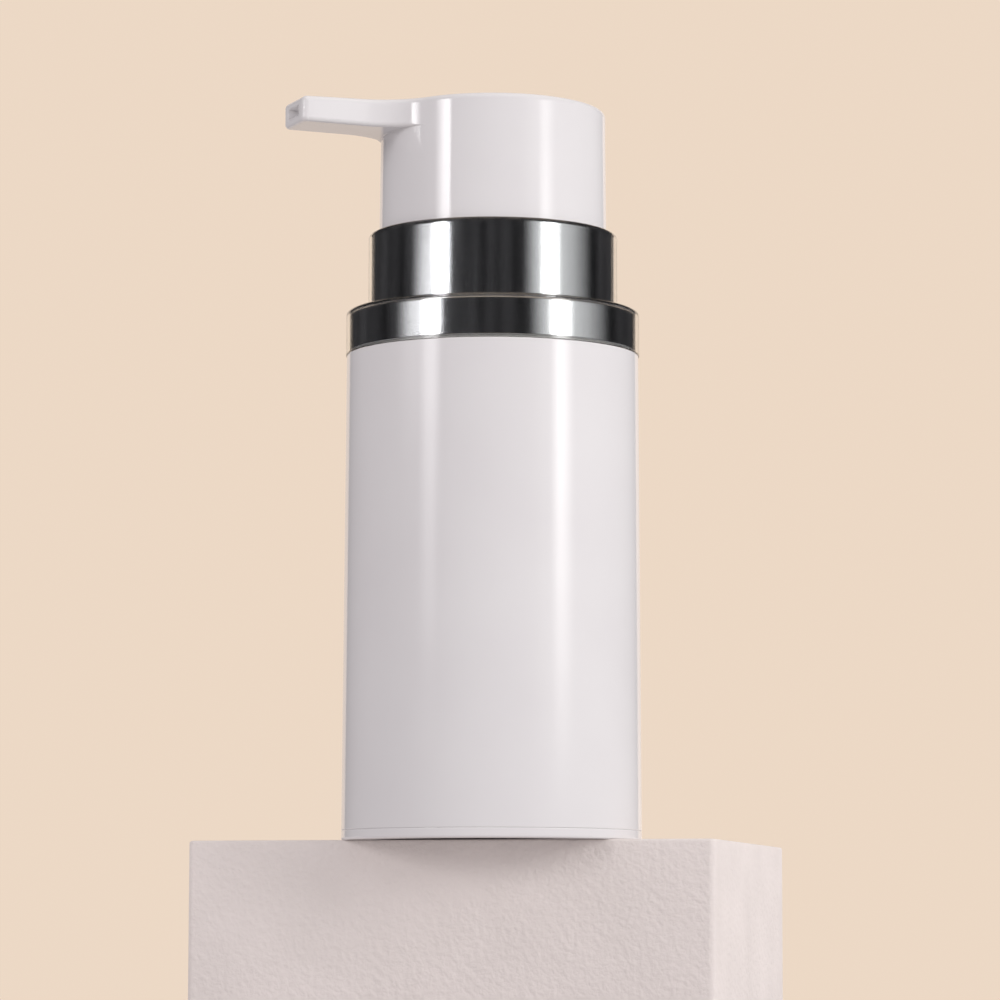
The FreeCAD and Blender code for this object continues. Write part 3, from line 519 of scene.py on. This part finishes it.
# Studio: soft boxes with a fainter haze on either side of the camera, fills that no gloss mirrors, and a
# dark surround that only gloss mirrors, which gives the chrome its black. Angles run from the camera's
# direction, positive to its right.


def toward(angle):
    """The level direction from the bottle's axis at the angle in degrees from the camera's direction."""
    return TO_FRONT * np.cos(np.radians(angle)) + TO_RIGHT * np.sin(np.radians(angle))


def soft_box(name, span, rise, glow, colour, sides, foot, crest, away=1.2):
    """An upright area lamp over the span of two angles in degrees and the rise between two heights in
    metres, at the distance away.

    Its radiance climbs smoothly from nothing to the glow: over the two sides' shares of its width from
    its left and right edges, and over the foot's and the crest's share of its height from its ends.
    """
    way = toward(np.mean(span))
    data = bpy.data.lights.new(name, "AREA")
    data.shape = "RECTANGLE"
    data.size = 2 * away * np.tan(np.radians(np.ptp(span) / 2))
    data.size_y = np.ptp(rise)
    data.energy = glow * np.pi * data.size * data.size_y
    data.color = colour
    data.use_nodes = True
    tree = data.node_tree
    tree.nodes.clear()
    sheet = add_node(tree, "ShaderNodeNewGeometry").outputs["Parametric"]
    spot = add_node(tree, "ShaderNodeSeparateXYZ", {"Vector": sheet})
    shares = [("X", 0, sides[0]), ("X", 1, 1 - sides[1]), ("Y", 0, foot), ("Y", 1, 1 - crest)]
    level = 1.0
    for axis, outer, inner in shares:
        ends = {"Value": spot.outputs[axis], "From Min": outer, "From Max": inner}
        climb = add_node(tree, "ShaderNodeMapRange", ends, interpolation_type="SMOOTHSTEP")
        pair = {0: climb.outputs[0], 1: level}
        level = add_node(tree, "ShaderNodeMath", pair, operation="MULTIPLY").outputs[0]
    glowing = add_node(tree, "ShaderNodeEmission", {"Strength": level})
    tree.links.new(glowing.outputs[0], add_node(tree, "ShaderNodeOutputLight").inputs["Surface"])
    lamp = bpy.data.objects.new(name, data)
    lamp.location = Vector(way * away) + Vector((0, 0, np.mean(rise)))
    lamp.rotation_euler = Vector(way).to_track_quat("Z", "Y").to_euler()
    lamp.visible_camera = False
    bpy.context.scene.collection.objects.link(lamp)
    return lamp


COOL_WHITE, WARM_WHITE = (1.0, 0.98, 0.99), (1.0, 0.995, 0.985)
soft_box("soft_box_left", (-60, -40), (0.08, 0.33), 3.9, COOL_WHITE,
         sides=(0.5, 0.4), foot=0.8, crest=0.1)
soft_box("haze_left", (-84, -38.5), (0.2, 0.33), 1.6, COOL_WHITE,
         sides=(0.5, 0.1), foot=0.5, crest=0.1)
soft_box("strip_left", (-62, -42), (0.27, 0.62), 11.0, COOL_WHITE,
         sides=(0.7, 0.15), foot=0.25, crest=0.3)
soft_box("soft_box_right", (44, 68), (0.03, 0.52), 6.6, WARM_WHITE,
         sides=(0.42, 0.6), foot=0.45, crest=0.6)
soft_box("haze_right", (28, 108), (0.03, 0.6), 0.9, WARM_WHITE,
         sides=(0.27, 0.6), foot=0.2, crest=0.2)
FILLS = (
    ("fill", (28, 80), (0.3, 1.3), 4.2),
    ("side_fill", (95, 135), (0.0, 1.4), 0.9),
    ("back_fill", (165, 215), (0.0, 1.4), 1.6),
)
for name, span, rise, glow in FILLS:
    fill = soft_box(name, span, rise, glow, WARM_WHITE,
                    sides=(0.2, 0.2), foot=0.2, crest=0.2, away=1.6)
    fill.visible_glossy = fill.visible_transmission = False


def dark_surround(reach=152, away=1.8):
    """A curved card round the axis, from the reach's angle on one side of the camera to that on the other,
    open towards the backdrop."""
    angle = np.radians(np.linspace(-reach, reach, 96))[:, None]
    way = TO_FRONT * np.cos(angle) + TO_RIGHT * np.sin(angle)
    height = np.array([-1.2, 2.4])[:, None, None]
    spots = away * way + height * [0, 0, 1]
    return joined("dark_surround", spots.reshape(-1, 3), lattice(2, len(angle))[:1, :-1].reshape(-1, 4))


surround = dark_surround()
felt, tree, place = blank_material("felt")
nap = two_tones(tree, place, 3.0, (0.018, 0.018, 0.019), (0.085, 0.085, 0.088))
surface(tree, add_node(tree, "ShaderNodeBsdfDiffuse", {"Color": nap}))
surround.data.materials.append(felt)
surround.visible_camera = surround.visible_diffuse = surround.visible_shadow = False

world = bpy.data.worlds.new("studio")
bpy.context.scene.world = world
world.use_nodes = True
tree = world.node_tree
tree.nodes.clear()
path = add_node(tree, "ShaderNodeLightPath")
seen = path.outputs["Is Camera Ray"]
for kind in ("Is Glossy Ray", "Is Transmission Ray"):
    pair = {0: seen, 1: path.outputs[kind]}
    seen = add_node(tree, "ShaderNodeMath", pair, operation="MAXIMUM").outputs[0]
room = add_node(tree, "ShaderNodeBackground", {"Color": (1.0, 0.947, 0.965, 1), "Strength": 0.56})
backdrop = add_node(tree, "ShaderNodeBackground", {"Color": (0.84, 0.69, 0.56, 1), "Strength": 1.0})
both = add_node(tree, "ShaderNodeMixShader", {0: seen, 1: room.outputs[0], 2: backdrop.outputs[0]})
tree.links.new(both.outputs[0], add_node(tree, "ShaderNodeOutputWorld").inputs["Surface"])
bpy.context.scene.view_settings.view_transform = "Standard"


# Camera: a long lens 0.71 m away and 16 mm below the plinth's top, tilted up by six degrees. Its place,
# tilt, roll and lens were fitted to the bottle's outlines.

camera_data = bpy.data.cameras.new("camera")
camera_data.sensor_width = 36.0
camera_data.lens = 147.29
camera = bpy.data.objects.new("camera", camera_data)
bpy.context.scene.collection.objects.link(camera)
tilt, roll = np.radians(6.024), 0.0021
ahead = -TO_FRONT * np.cos(tilt) + np.array([0, 0, np.sin(tilt)])
upward = np.cross(TO_RIGHT, ahead)
level = TO_RIGHT * np.cos(roll) + upward * np.sin(roll)
upright = upward * np.cos(roll) - TO_RIGHT * np.sin(roll)
axes = np.eye(4)
axes[:3, 0], axes[:3, 1], axes[:3, 2] = level, upright, -ahead
aside, distance, lift = 1.343, 709.53, -15.63
axes[:3, 3] = (aside * TO_RIGHT + distance * TO_FRONT + [0, 0, lift]) * MM
camera.matrix_world = Matrix(axes.tolist())
bpy.context.scene.camera = camera
